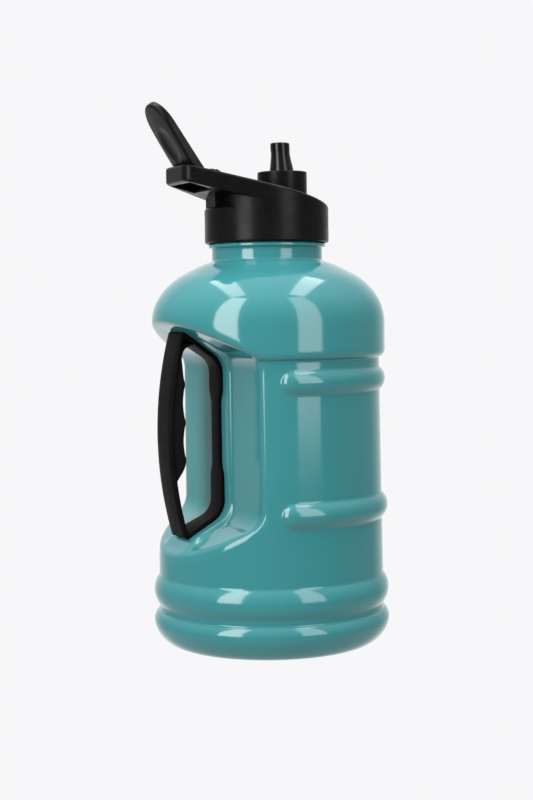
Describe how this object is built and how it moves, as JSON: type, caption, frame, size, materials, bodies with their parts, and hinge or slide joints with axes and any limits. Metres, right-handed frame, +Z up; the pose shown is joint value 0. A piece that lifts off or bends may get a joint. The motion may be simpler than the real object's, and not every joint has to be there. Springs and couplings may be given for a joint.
{
  "type": "large water jug",
  "caption": "Large blow-moulded water jug with a recessed D-loop hand grip, body beads, and a screw cap with a carry loop, drinking spout and flip cover.",
  "frame": {"origin": "centre of the ring that the jug stands on", "axes": "+Z up along the bottle's axis, -X towards the hand grip and the cap's loop, +X towards the spout"},
  "size_m": [0.135, 0.13, 0.2936],
  "materials": {
    "bottle": "glossy teal, faintly see-through",
    "grip": "satin black",
    "grip_soft": "matte black soft-touch",
    "cap": "satin black",
    "spout": "glossy black silicone",
    "seal": "silicone",
    "pin": "plain"
  },
  "bodies": {
    "jug": {"jug_body": "bottle", "grip_frame": "grip", "grip_pad": "grip_soft"},
    "gasket": {"cap_gasket": "seal"},
    "cap": {"cap_shell": "cap", "hinge_pin": "pin", "spout_collar": "cap", "drinking_spout": "spout", "spout_retainer": "cap", "vent_valve": "seal"},
    "cover": {"flip_cover": "cap", "cover_seal": "seal"}
  },
  "joints": [
    {"name": "cap_lift", "type": "slide", "parent": "jug", "child": "gasket", "axis": [0, 0, 1], "range_m": [0, 0.01]},
    {"name": "cap_turn", "type": "hinge", "parent": "gasket", "child": "cap", "pos_m": [0, 0, 0.235], "axis": [0, 0, 1], "range_deg": [0, 720]},
    {"name": "cover_hinge", "type": "hinge", "parent": "cap", "child": "cover", "pos_m": [-0.0332, 0, 0.254], "axis": [0, 1, 0], "range_deg": [0, 124.5], "deforming": ["drinking_spout"]}
  ],
  "couplings": [
    {"joint": "cap_lift", "follows": "cap_turn", "m_per_rad": 0.00079577}
  ]
}
